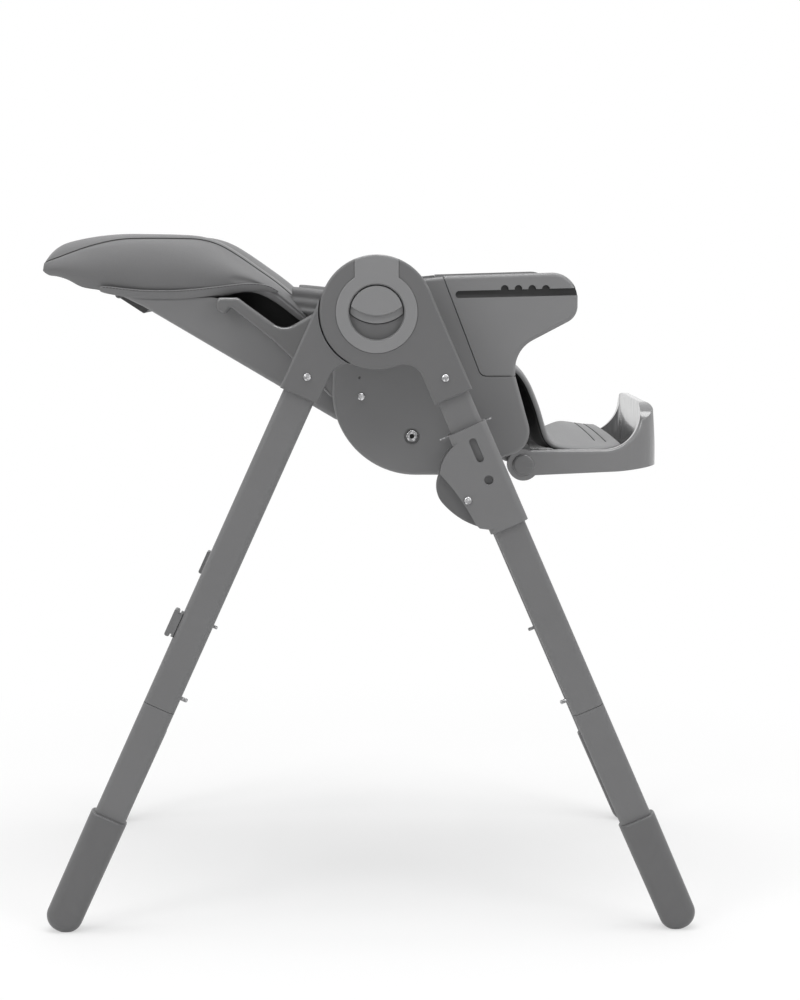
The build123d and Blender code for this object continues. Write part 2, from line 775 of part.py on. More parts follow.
with BuildPart() as recline_lever:
    with BuildSketch(back_view):
        add(outline((-337, -56, 2), (-294, -58, 3), (-292, -50, 2), (-300, -50.5, 0), (-337, -49, 2)))
        with Locations(lever_pin):
            Circle(4)
    extrude(amount=lever_half)
    with BuildSketch(back_view):
        with Locations(lever_pin):
            Circle(lever_pin_radius)
    extrude(amount=lever_half + lever_lug)
    mirror(about=Plane.XZ)
export(recline_lever.part, "recline_lever")

# Footrest: a scoop with an upstanding front wall, on a cross axle under the seat

scoop_side = outline(
    (foot_pivot[0], 554, 0), (312, 559.5, 200), (361, 566, 4), (353.5, 646, 9), (337.5, 646, 3), (337.5, 587, 48),
    (foot_pivot[0], 587, 0),
)
scoop_front = outline((-foot_half, 540, 0), (foot_half, 540, 0), (foot_half, 646, 46), (-foot_half, 646, 46))
scoop_plan = outline((120, -foot_half, 0), (360, -foot_half, 40), (360, foot_half, 40), (120, foot_half, 0))
scoop_inside = outline((208, -122, 0), (338, -122, 28), (338, 122, 28), (208, 122, 0))
scoop_floor = 576
rim_round = 5
floor_thickness = 4
boss_radius = 20
boss_inner = 116
boss_outer = 134
button_radius = 14
button_floor = 123.5
plan_view = Plane((hub_x, 0, 0))

with BuildPart() as footrest_frame:
    with BuildSketch(side_view):
        add(scoop_side)
    extrude(amount=foot_half, both=True)
    with BuildSketch(plan_view.offset(540)):
        add(scoop_plan)
    extrude(amount=120, mode=Mode.INTERSECT)
    with BuildSketch(Plane.YZ.offset(hub_x)):
        add(scoop_front)
    extrude(amount=400, mode=Mode.INTERSECT)
    side_edges = footrest_frame.edges().filter_by(lambda edge: abs(edge.center().Y) > foot_half - 1)
    fillet(side_edges.filter_by(lambda edge: edge.center().Z > foot_pivot[1] + 18), rim_round)
    with BuildSketch(plan_view.offset(scoop_floor)):
        add(scoop_inside)
    extrude(amount=100, mode=Mode.SUBTRACT)
    with BuildSketch(plan_view.offset(540)):
        add(scoop_inside)
    extrude(amount=scoop_floor - floor_thickness - 540, mode=Mode.SUBTRACT)
    with BuildSketch(plan_view.offset(540)):
        with Locations((foot_pivot[0] - 30, 0)):
            Rectangle(104, 2 * boss_inner)
    extrude(amount=100, mode=Mode.SUBTRACT)
    for near in (-1, 1):
        with BuildSketch(side_view.offset(near * boss_inner)):
            with Locations(foot_pivot):
                Circle(boss_radius)
        extrude(amount=near * (boss_outer - boss_inner))
        with BuildSketch(side_view.offset(near * boss_inner)):
            with Locations(foot_pivot):
                Circle(axle_radius + running)
        extrude(amount=near * (boss_outer - boss_inner), mode=Mode.SUBTRACT)
        with BuildSketch(side_view.offset(near * button_floor)):
            with Locations(foot_pivot):
                Circle(button_radius + running)
        extrude(amount=near * (boss_outer - button_floor), mode=Mode.SUBTRACT)
export(footrest_frame.part, "footrest_frame")

with BuildPart() as footrest_axle:
    with BuildSketch(side_view):
        with Locations(foot_pivot):
            Circle(axle_radius)
    extrude(amount=button_floor - 4.5, both=True)
export(footrest_axle.part, "footrest_axle")

with BuildPart() as footrest_button:
    with BuildSketch(side_view.offset(boss_outer - 6)):
        with Locations(foot_pivot):
            Circle(button_radius)
    extrude(amount=10)
    fillet(footrest_button.faces().sort_by(Axis.Y)[0].edges(), 3)
export_pair(footrest_button.part, "footrest_button")

# Cushions: crowned pads with drawn-in sides, lofted through sections

def pad_section(place, half, low, edge, crown, bulge=3):
    """One cut through a pad: flat under, soft at the sides, crowned on top."""
    with BuildSketch(place) as cut:
        with BuildLine():
            Line((-half, low), (half, low))
            ThreePointArc((half, low), (half + bulge, (low + edge) / 2), (half - 1, edge))
            ThreePointArc((half - 1, edge), (0, crown), (-half + 1, edge))
            ThreePointArc((-half + 1, edge), (-half - bulge, (low + edge) / 2), (-half, low))
        make_face()
    return cut.sketch


# distance ahead of the hub axis, half width, underside, side edge, crown
seat_pad_cuts = (
    (10, 148, 653.5, 660, 664), (40, 152, 657, 668, 676), (90, 147, 663, 675, 684),
    (140, 150, 669.5, 682, 690), (168, 150, 676.5, 686, 691),
)

with BuildPart() as seat_cushion:
    for at, half, low, edge, crown in seat_pad_cuts:
        add(pad_section(Plane.YZ.offset(hub_x + at), half, low, edge, crown))
    loft()
export(seat_cushion.part, "seat_cushion")

calf_top = (178, 688)
calf_bend = (203, 646)
calf_low = (214, 606)
calf_half = 108


def calf_section(at, tilt, half, crown):
    """Cut through the calf pad, square to its slope; z of the cut points down the pad."""
    down = (cos(radians(tilt)), 0, -sin(radians(tilt)))
    place = Plane((hub_x + at[0], 0, at[1]), x_dir=(0, 1, 0), z_dir=down)
    return pad_section(place, half, 0, 5, crown, 2)


with BuildPart() as calf_pad:
    add(calf_section(calf_top, 50, calf_half + 14, 9))
    add(calf_section(calf_bend, 66, calf_half, 11))
    add(calf_section(calf_low, 76, calf_half - 2, 10))
    loft()
export(calf_pad.part, "calf_pad")

foot_pad_cuts = (
    (226, 108, 577, 586, 592), (250, 104, 577, 588, 597), (285, 103, 577, 588, 597),
    (312, 100, 577, 584, 590),
)

with BuildPart() as foot_pad:
    for at, half, low, edge, crown in foot_pad_cuts:
        add(pad_section(Plane.YZ.offset(hub_x + at), half, low, edge, crown))
    loft()
export(foot_pad.part, "foot_pad")


def back_section(up, low, wing, hollow, half):
    """Cut through the back cushion, square to the back: two side wings with a hollow between."""
    place = Plane(back_view.from_local_coords((-up, 0, 0)), x_dir=(0, 1, 0), z_dir=back_view.x_dir)
    crest = half - 26
    inner = half - 62
    with BuildSketch(place) as cut:
        with BuildLine():
            Line((-half, low), (half, low))
            ThreePointArc((half, low), (half + 3, (low + wing) / 2), (half - 8, wing - 6))
            ThreePointArc((half - 8, wing - 6), (crest, wing), (inner, wing - hollow * 0.7))
            ThreePointArc((inner, wing - hollow * 0.7), (0, wing - hollow), (-inner, wing - hollow * 0.7))
            ThreePointArc((-inner, wing - hollow * 0.7), (-crest, wing), (-half + 8, wing - 6))
            ThreePointArc((-half + 8, wing - 6), (-half - 3, (low + wing) / 2), (-half, low))
        make_face()
    return cut.sketch


# distance up the back, underside, wing crest, depth of the hollow, half width
back_cuts = (
    (40, 14, 34, 6, 138), (100, 30, 56, 10, 146), (155, 47, 71, 14, 150),
    (217, 16, 75, 16, cushion_half), (276, -23, 66, 16, cushion_half),
    (335, -41, 37, 14, cushion_half - 2), (390, -58, -2, 10, cushion_half - 10),
    (424, -66, -50, 3, cushion_half - 30),
)

with BuildPart() as back_cushion:
    for cut in back_cuts:
        add(back_section(*cut))
    loft(ruled=True)
export(back_cushion.part, "back_cushion")
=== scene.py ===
import json
import math

import bpy
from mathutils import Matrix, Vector


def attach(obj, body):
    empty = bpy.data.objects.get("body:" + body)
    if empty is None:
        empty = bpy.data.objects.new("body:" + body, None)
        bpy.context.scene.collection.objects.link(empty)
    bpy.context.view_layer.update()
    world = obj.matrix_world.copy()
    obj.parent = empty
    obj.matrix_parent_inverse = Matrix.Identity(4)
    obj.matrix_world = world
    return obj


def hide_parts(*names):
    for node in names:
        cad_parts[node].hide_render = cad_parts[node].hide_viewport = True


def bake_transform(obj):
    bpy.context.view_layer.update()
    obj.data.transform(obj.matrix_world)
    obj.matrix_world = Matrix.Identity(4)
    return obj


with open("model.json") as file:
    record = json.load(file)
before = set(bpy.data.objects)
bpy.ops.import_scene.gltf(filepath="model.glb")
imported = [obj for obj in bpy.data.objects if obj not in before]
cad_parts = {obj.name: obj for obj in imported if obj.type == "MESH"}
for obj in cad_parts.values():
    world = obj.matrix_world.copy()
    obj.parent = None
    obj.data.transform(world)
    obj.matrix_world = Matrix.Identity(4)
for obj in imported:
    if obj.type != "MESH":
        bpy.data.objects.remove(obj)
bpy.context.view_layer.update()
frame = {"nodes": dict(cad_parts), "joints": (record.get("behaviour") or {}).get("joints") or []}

print("frame loaded:", len(frame["nodes"]), "nodes")

# metres; x forward, y to the child's left, z up from the floor
pivots = {joint["name"]: Vector(joint["pos_m"]) for joint in frame["joints"] if "pos_m" in joint}
hub = pivots["rear_fold"]
backPivot = pivots["back_recline"]
mm = 0.001
sides = {"right": -1, "left": 1}


# shader sums

class Wire:  # a socket that can stand in a sum
    def __init__(self, finish, socket):
        self.finish = finish
        self.socket = socket

    def reckon(self, operation, first, second):
        return self.finish.node("ShaderNodeMath", {"operation": operation}, {0: first, 1: second})

    def __add__(self, other):
        return self.reckon("ADD", self, other)

    def __radd__(self, other):
        return self.reckon("ADD", other, self)

    def __sub__(self, other):
        return self.reckon("SUBTRACT", self, other)

    def __rsub__(self, other):
        return self.reckon("SUBTRACT", other, self)

    def __mul__(self, other):
        return self.reckon("MULTIPLY", self, other)

    def __rmul__(self, other):
        return self.reckon("MULTIPLY", other, self)


class Finish:  # the nodes of a material, or of the world
    socketNames = {
        "colour": "Base Color", "roughness": "Roughness", "metallic": "Metallic", "normal": "Normal",
        "coat": "Coat Weight", "coatRoughness": "Coat Roughness",
        "sheen": "Sheen Weight", "sheenRoughness": "Sheen Roughness",
    }

    def __init__(self, name, owner=None):
        self.owner = owner or bpy.data.materials.new(name)
        self.owner.use_nodes = True
        self.tree = self.owner.node_tree
        self.shader = self.tree.nodes.get("Principled BSDF")
        self.place = self.node("ShaderNodeTexCoord", output="Object")

    def node(self, kind, settings=None, sockets=None, output=0):
        made = self.tree.nodes.new(kind)
        for key, value in (settings or {}).items():
            if key == "stops":
                self.setStops(made.color_ramp, value)
            else:
                setattr(made, key, value)
        for key, value in (sockets or {}).items():
            self.join(made.inputs[key], value)
        return Wire(self, made.outputs[output])

    def join(self, socket, value):
        if isinstance(value, Wire):
            self.tree.links.new(value.socket, socket)
        else:
            socket.default_value = value

    def setStops(self, ramp, stops):
        while len(ramp.elements) < len(stops):
            ramp.elements.new(0.5)
        for element, (position, level) in zip(ramp.elements, stops):
            element.position = position
            element.color = (level, level, level, 1)

    def noise(self, scale, detail=2, roughness=0.5, distortion=0):  # three scales stretch the pattern
        place = self.place
        if isinstance(scale, tuple):
            place = self.node("ShaderNodeMapping", None, {"Vector": place, "Scale": scale})
            scale = 1
        values = {"Vector": place, "Scale": scale, "Detail": detail, "Roughness": roughness,
                  "Distortion": distortion}
        return self.node("ShaderNodeTexNoise", None, values)

    def cells(self, scale, feature="F1", randomness=1):
        values = {"Vector": self.place, "Scale": scale, "Randomness": randomness}
        return self.node("ShaderNodeTexVoronoi", {"feature": feature}, values)

    def wave(self, direction, scale, distortion=0):
        values = {"Vector": self.place, "Scale": scale, "Distortion": distortion}
        return self.node("ShaderNodeTexWave", {"bands_direction": direction}, values)

    def ramp(self, factor, stops):
        return self.node("ShaderNodeValToRGB", {"stops": stops}, {0: factor})

    def tint(self, factor, dark, light):
        return self.node("ShaderNodeMix", {"data_type": "RGBA"}, {0: factor, 6: dark, 7: light}, output=2)

    def span(self, value, low, high):
        limits = {"Value": value, "From Min": low, "From Max": high}
        return self.node("ShaderNodeMapRange", {"interpolation_type": "SMOOTHSTEP"}, limits)

    def part(self, vector, letter):
        return self.node("ShaderNodeSeparateXYZ", None, {0: vector}, output=letter)

    def length(self, vector):
        return self.node("ShaderNodeVectorMath", {"operation": "LENGTH"}, {0: vector}, output="Value")

    def seen(self):  # rays that meet the background straight, or in a glossy or clear surface
        kinds = ("Is Camera Ray", "Is Glossy Ray", "Is Transmission Ray")
        straight, glossy, clear = (self.node("ShaderNodeLightPath", output=kind) for kind in kinds)
        return straight + glossy + clear

    def bump(self, height, strength, distance, under=None):
        values = {"Height": height, "Strength": strength, "Distance": distance}
        if under is not None:
            values["Normal"] = under
        return self.node("ShaderNodeBump", None, values)

    def set(self, **sockets):
        for key, value in sockets.items():
            self.join(self.shader.inputs[self.socketNames[key]], value)
        return self.owner


def grey(level, cool=1.015):  # with a touch of blue
    return (level, level, level * cool, 1)


# finishes

def mouldedFinish(name, tone, gloss, grain=2400, depth=0.1, slotShade=None):
    # fine spark-eroded grain over a broad, faint unevenness left by the mould; a slot gets painted shade
    # inside
    finish = Finish(name)
    broad = finish.noise(scale=9, detail=3)
    speck = finish.noise(scale=grain, roughness=0.6)
    colour = finish.tint(broad * 0.6 + speck * 0.4, grey(tone * 0.93), grey(tone * 1.06))
    if slotShade:
        # painted shade: darker inside the slot, between its mouth and floor and its lower and upper edges
        out = finish.node("ShaderNodeMath", {"operation": "ABSOLUTE"}, {0: finish.part(finish.place, "Y")})
        height = finish.part(finish.place, "Z")
        paintedShade = finish.span(out, *slotShade["mouth"]) * finish.span(out, *slotShade["floor"])
        paintedShade = paintedShade * finish.span(height, *slotShade["lower"]) * finish.span(height, *slotShade["upper"])
        colour = finish.tint(paintedShade, colour, grey(tone * slotShade["tone"]))
    flow = finish.bump(finish.noise(scale=34), strength=0.04, distance=0.0006)
    return finish.set(
        colour=colour,
        roughness=broad * 0.12 + (gloss - 0.06) + speck * 0.06,
        normal=finish.bump(speck, strength=depth, distance=0.00008, under=flow),
    )


def paintFinish(name, tone):
    # powder coat: orange peel, with a few paler specks
    finish = Finish(name)
    peel = finish.noise(scale=760, detail=3, roughness=0.55)
    cloud = finish.noise(scale=14)
    specks = finish.ramp(finish.cells(scale=520), ((0, 1), (0.05, 0.3), (0.11, 0)))
    return finish.set(
        colour=finish.tint(cloud * 0.55 + peel * 0.35 + specks * 0.1, grey(tone * 0.92), grey(tone * 1.08)),
        roughness=peel * 0.16 + 0.36,
        normal=finish.bump(peel, strength=0.16, distance=0.00025),
    )


def capFinish(name, tone):
    # foot caps: soft plastic with flow streaks that break up its sheen
    finish = Finish(name)
    streak = finish.noise(scale=(30, 42, 14), detail=4, roughness=0.55, distortion=1.6)
    grain = finish.noise(scale=1900)
    flow = finish.bump(streak, strength=0.22, distance=0.0016)
    return finish.set(
        colour=finish.tint(streak * 0.7 + grain * 0.3, grey(tone * 0.9), grey(tone * 1.1)),
        roughness=streak * 0.24 + 0.27,
        normal=finish.bump(grain, strength=0.06, distance=0.0001, under=flow),
    )


def glossFinish(name, tone, gloss, wall=None):
    # polished shell plastic with hairline scuffs; a wall that stands between two x has draw lines up it
    finish = Finish(name)
    swell = finish.noise(scale=22)
    scuff = finish.ramp(finish.noise(scale=(30, 900, 900)), ((0.62, 0), (0.74, 1)))
    normal = finish.bump(swell, strength=0.04, distance=0.001)
    if wall:
        lines = finish.noise(scale=(40, 48, 6), detail=3, roughness=0.6)
        drawn = lines * finish.span(finish.part(finish.place, "X"), *wall)
        normal = finish.bump(drawn, strength=0.6, distance=0.002, under=normal)
    return finish.set(
        colour=finish.tint(swell * 0.8 + scuff * 0.2, grey(tone * 0.93), grey(tone * 1.06)),
        roughness=swell * 0.06 + scuff * 0.08 + gloss,
        normal=normal,
        coat=0.6,
        coatRoughness=0.06,
    )


def leatherFinish(name, tone, grain=760):
    # leatherette: pebbles split by fine creases, with paler worn tops
    finish = Finish(name)
    pebble = finish.cells(scale=grain, feature="DISTANCE_TO_EDGE")
    worn = finish.ramp(pebble, ((0, 0), (0.18, 0.75), (0.5, 1)))
    cloud = finish.noise(scale=16, detail=4)
    pore = finish.noise(scale=2600, roughness=0.6)
    wrinkle = finish.noise(scale=70, detail=3, distortion=0.8)
    soft = finish.bump(wrinkle, strength=0.1, distance=0.0012)
    return finish.set(
        colour=finish.tint(cloud * 0.5 + worn * 0.35 + pore * 0.15, grey(tone * 0.86), grey(tone * 1.09)),
        roughness=0.6 - worn * 0.12 + cloud * 0.06,
        normal=finish.bump(worn * 0.8 + pore * 0.2, strength=0.22, distance=0.00022, under=soft),
        sheen=0.08,
        sheenRoughness=0.45,
    )


def threadFinish(name, tone):
    # sewing thread: a twist of strands; its dark tone is the thread's own in stitches, and painted shade
    # where it lies as a welt in a seam's groove
    finish = Finish(name)
    twist = finish.wave("DIAGONAL", scale=900, distortion=0.4)
    return finish.set(
        colour=finish.tint(twist, grey(tone * 0.7), grey(tone * 1.1)),
        roughness=twist * 0.1 + 0.55,
        normal=finish.bump(twist, strength=0.4, distance=0.0002),
    )


def steelFinish(name, tone, gloss, shadedHole=None):
    # zinc-plated steel: bright and dull spangles and a fine haze; a key hole gets painted shade inside
    finish = Finish(name)
    spangle = finish.ramp(finish.cells(scale=300), ((0.2, 1), (0.62, 0)))
    haze = finish.noise(scale=1500, detail=3)
    colour = finish.tint(spangle * 0.75 + haze * 0.25, grey(tone * 0.3), grey(tone * 1.15))
    if shadedHole:
        x, z = shadedHole["axis"]
        off = finish.node("ShaderNodeVectorMath", {"operation": "MULTIPLY_ADD"},
                          {0: finish.place, 1: (1, 0, 1), 2: (-x, 0, -z)})
        # painted shade: near black within the key hole's radius
        inside = finish.span(finish.length(off), shadedHole["radius"], shadedHole["radius"] * shadedHole["floor"])
        colour = finish.tint(inside, colour, grey(shadedHole["tone"]))
    return finish.set(
        colour=colour,
        metallic=1,
        roughness=haze * 0.14 + gloss,
        normal=finish.bump(haze, strength=0.08, distance=0.00008),
    )


def shadowLiningFinish(name, tone):
    # plain lining cloth under a pad, its weave real; made near black as painted shade for the shadowed gap
    # beneath the pad
    finish = Finish(name)
    weave = finish.wave("Y", scale=260) * finish.wave("X", scale=260)
    return finish.set(
        colour=finish.tint(weave, grey(tone * 0.6), grey(tone * 1.3)),
        roughness=weave * 0.1 + 0.8,
        normal=finish.bump(weave, strength=0.3, distance=0.0003),
    )


def gripFinish(name, tone):
    # lever grip: rows of small round pimples
    finish = Finish(name)
    pimple = finish.ramp(finish.cells(scale=430, randomness=0.15), ((0.1, 1), (0.42, 0)))
    dust = finish.noise(scale=60, detail=3)
    return finish.set(
        colour=finish.tint(pimple * 0.6 + dust * 0.4, grey(tone * 0.7), grey(tone * 1.35)),
        roughness=dust * 0.15 + 0.5,
        normal=finish.bump(pimple, strength=0.55, distance=0.0005),
    )


railSlotShade = {
    # metres out from the middle, or up: where the painted shade inside a tray rail's slot starts, and where
    # it is full
    "mouth": (0.1772, 0.1752),
    "floor": (0.1678, 0.1688),
    "lower": (0.778, 0.786),
    "upper": (0.798, 0.797),
    "tone": 0.08,
}
# painted shade inside a bolt's key hole
keyHoleShade = {"axis": (0.0549, 0.609), "radius": 0.0034, "floor": 0.8, "tone": 0.015}  # x and z in metres
footWall = (0.336, 0.348)  # x in metres

legPaint = paintFinish("legPaint", 0.176)
hubPlastic = mouldedFinish("hubPlastic", 0.145, 0.4)
trimPlastic = mouldedFinish("trimPlastic", 0.25, 0.38, grain=3000, depth=0.06)
collarPlastic = mouldedFinish("collarPlastic", 0.185, 0.42)
seatPlastic = mouldedFinish("seatPlastic", 0.2, 0.38, grain=2600, depth=0.07)
railPlastic = mouldedFinish("railPlastic", 0.225, 0.36, grain=2600, depth=0.07, slotShade=railSlotShade)
backPlastic = mouldedFinish("backPlastic", 0.2, 0.42, grain=2200, depth=0.09)
armPlastic = glossFinish("armPlastic", 0.125, 0.14)
footPlastic = glossFinish("footPlastic", 0.2, 0.12, wall=footWall)
buttonPlastic = glossFinish("buttonPlastic", 0.15, 0.2)
capPlastic = capFinish("capPlastic", 0.135)
triggerPlastic = mouldedFinish("triggerPlastic", 0.12, 0.5, grain=1500, depth=0.2)
pegPlastic = mouldedFinish("pegPlastic", 0.17, 0.5, grain=1500, depth=0.15)
leverGrip = gripFinish("leverGrip", 0.09)
padLeather = leatherFinish("padLeather", 0.165)
linerLeather = leatherFinish("linerLeather", 0.24)
hemLeather = leatherFinish("hemLeather", 0.18, grain=900)
# near black as painted shade under the pads
padShadowLining = shadowLiningFinish("padShadowLining", 0.02)
# dark thread, and painted shade in the seam grooves where it is laid as welts
threadAndGrooveShade = threadFinish("threadAndGrooveShade", 0.05)
screwSteel = steelFinish("screwSteel", 0.72, 0.1)
keySteel = steelFinish("keySteel", 0.55, 0.14, shadedHole=keyHoleShade)
boltSteel = steelFinish("boltSteel", 0.55, 0.24)

nodeFinish = {
    "front_tube": legPaint, "rear_tube": legPaint,
    "front_lower_tube": legPaint, "rear_lower_tube": legPaint,
    "front_crossbar": legPaint, "rear_crossbar": legPaint,
    "front_bracket": hubPlastic, "rear_bracket": hubPlastic,
    "hub_trim": trimPlastic, "fold_paddle": trimPlastic,
    "leg_collar": collarPlastic, "height_trigger": triggerPlastic,
    "front_foot": capPlastic, "rear_foot": capPlastic,
    "tray_peg": pegPlastic, "tray_rail": railPlastic, "side_arm": armPlastic,
    "seat_shell": seatPlastic, "under_cover": seatPlastic,
    "back_shell": backPlastic, "recline_lever": leverGrip,
    "footrest_frame": footPlastic, "footrest_button": buttonPlastic,
    "front_leg_screws": screwSteel, "rear_leg_screws": screwSteel,
    "trigger_screws": screwSteel, "back_hinge_pins": screwSteel,
    "stretcher_bolts": keySteel, "seat_stretcher": boltSteel,
    "hub_bolts": boltSteel, "footrest_axle": boltSteel, "collar_clips": boltSteel,
    "front_snap_button": boltSteel, "rear_snap_button": boltSteel,
}
for name, node in frame["nodes"].items():
    kind = name.removesuffix("_left").removesuffix("_right")
    if kind in nodeFinish:
        node.material_slots[0].material = nodeFinish[kind]
print("finishes made:", len(bpy.data.materials))


# ways of working

def pickOnly(piece):
    bpy.ops.object.select_all(action="DESELECT")
    piece.select_set(True)
    bpy.context.view_layer.objects.active = piece


def pickPoints(piece, wanted):  # opens a piece in edit mode with only these points selected
    pickOnly(piece)
    bpy.ops.object.mode_set(mode="EDIT")
    bpy.ops.mesh.select_mode(type="VERT")
    bpy.ops.mesh.select_all(action="DESELECT")
    bpy.ops.object.mode_set(mode="OBJECT")
    for vertex in piece.data.vertices:
        vertex.select = wanted(vertex.co)
    bpy.ops.object.mode_set(mode="EDIT")


def lerp(a, b, t):
    return a + (b - a) * t


def ease(low, high, value):
    t = min(max((value - low) / (high - low), 0), 1)
    return t * t * (3 - 2 * t)


def glide(rows, t):  # a smooth curve through rows of numbers, t from 0 to 1
    place = t * (len(rows) - 1)
    i = min(int(place), len(rows) - 2)
    f = place - i
    before, start, end, after = (rows[min(max(i + k, 0), len(rows) - 1)] for k in (-1, 0, 1, 2))
    return [
        0.5 * (2 * b + (c - a) * f + (2 * a - 5 * b + 4 * c - d) * f * f + (3 * b - a - 3 * c + d) * f**3)
        for a, b, c, d in zip(before, start, end, after)
    ]


def latticeBox(name, counts, place):  # a box of small quads whose lattice points go where place puts them
    keys = {}
    points = []
    faces = []
    shadowLined = []

    def corner(*at):
        if at not in keys:
            keys[at] = len(points)
            points.append(place(*(index / count for index, count in zip(at, counts))))
        return keys[at]

    for axis in range(3):
        across = [k for k in range(3) if k != axis]
        for level in (0, counts[axis]):
            for i in range(counts[across[0]]):
                for j in range(counts[across[1]]):
                    ring = []
                    for a, b in ((0, 0), (1, 0), (1, 1), (0, 1)):
                        at = [0, 0, 0]
                        at[axis], at[across[0]], at[across[1]] = level, i + a, j + b
                        ring.append(corner(*at))
                    faces.append(ring)
                    # underside faces take the second material, the painted-shade lining where one is given
                    shadowLined.append(1 if (axis, level) == (2, 0) else 0)
    mesh = bpy.data.meshes.new(name)
    mesh.from_pydata(points, [], faces)
    mesh.polygons.foreach_set("material_index", shadowLined)
    piece = bpy.data.objects.new(name, mesh)
    bpy.context.scene.collection.objects.link(piece)
    pickOnly(piece)
    bpy.ops.object.mode_set(mode="EDIT")
    bpy.ops.mesh.select_all(action="SELECT")
    bpy.ops.mesh.normals_make_consistent(inside=False)
    bpy.ops.object.mode_set(mode="OBJECT")
    return piece, keys


def crease(piece, keys, seams, depth):  # pulls sewn lattice points into the padding, depth in mm
    normals = {at: piece.data.vertices[keys[at]].normal.copy() for at in seams}
    for at, normal in normals.items():
        piece.data.vertices[keys[at]].co -= normal * depth * mm


coverCloth = {
    # how a sewn cover behaves while its stuffing swells it
    "quality": 5,
    "mass": 0.2,
    "tension_stiffness": 20,
    "compression_stiffness": 20,
    "shear_stiffness": 10,
    "bending_stiffness": 2,
    "use_pressure": True,
    "vertex_group_mass": "sewn",
}
swellFrames = 20


def stuff(piece, pinned, pressure, cap):  # swells a cover between its pinned seams
    start = [v.co.copy() for v in piece.data.vertices]
    group = piece.vertex_groups.new(name=coverCloth["vertex_group_mass"])
    group.add(list(pinned), 1, "ADD")
    cloth = piece.modifiers.new("stuffing", "CLOTH")
    for key, value in coverCloth.items():
        setattr(cloth.settings, key, value)
    cloth.settings.uniform_pressure_force = pressure
    cloth.settings.effector_weights.gravity = 0
    cloth.collision_settings.use_collision = False
    cloth.point_cache.frame_start = 1
    cloth.point_cache.frame_end = swellFrames
    for step in range(1, swellFrames + 1):
        bpy.context.scene.frame_set(step)
    swollen = piece.evaluated_get(bpy.context.evaluated_depsgraph_get())
    moved = [v.co.copy() for v in swollen.data.vertices]
    piece.modifiers.remove(cloth)
    bpy.context.scene.frame_set(1)
    for vertex, a, b in zip(piece.data.vertices, start, moved):
        shift = b - a
        if shift.length > cap:
            shift *= cap / shift.length
        vertex.co = a + shift
    piece.data.update()
    print("stuffed", piece.name)


def smoothSkin(piece):
    pickOnly(piece)
    skin = piece.modifiers.new("skin", "SUBSURF")
    skin.levels = skin.render_levels = 1
    bpy.ops.object.modifier_apply(modifier=skin.name)
    bpy.ops.object.shade_smooth()


def sewnLine(name, lines, radius):  # a welt or thread along each line, radius in mm
    curve = bpy.data.curves.new(name, "CURVE")
    curve.dimensions = "3D"
    curve.bevel_depth = radius * mm
    curve.bevel_resolution = 2
    curve.use_fill_caps = True
    for points in lines:
        spline = curve.splines.new("NURBS")
        spline.points.add(len(points) - 1)
        for target, point in zip(spline.points, points):
            target.co = (*point, 1)
        spline.order_u = min(3, len(points))
        spline.use_endpoint_u = True
        spline.resolution_u = 2
    piece = bpy.data.objects.new(name, curve)
    bpy.context.scene.collection.objects.link(piece)
    pickOnly(piece)
    bpy.ops.object.convert(target="MESH")
    piece = bpy.context.view_layer.objects.active
    bpy.ops.object.shade_smooth()
    # dark thread, which in a seam's groove stands as painted shade
    piece.data.materials.append(threadAndGrooveShade)
    return piece


def onSkin(piece, keys, line, rise):  # lattice points as they lie on the finished skin, lifted by rise mm
    spots = [piece.data.vertices[keys[at]] for at in line]
    return [spot.co + spot.normal * rise * mm for spot in spots]


def dashes(line, pitch, length):  # a row of stitches along a line
    made = []
    rest = 0
    for a, b in zip(line, line[1:]):
        run = (b - a).length
        way = (b - a) / run
        while rest < run:
            made.append([a + way * rest, a + way * (rest + length)])
            rest += pitch
        rest -= run
    return made


# a piece's finish, and for its underside the painted-shade lining where one is given
def dress(piece, finish, shadowLining=None):
    piece.data.materials.append(finish)
    piece.data.materials.append(shadowLining or finish)


# back cushion

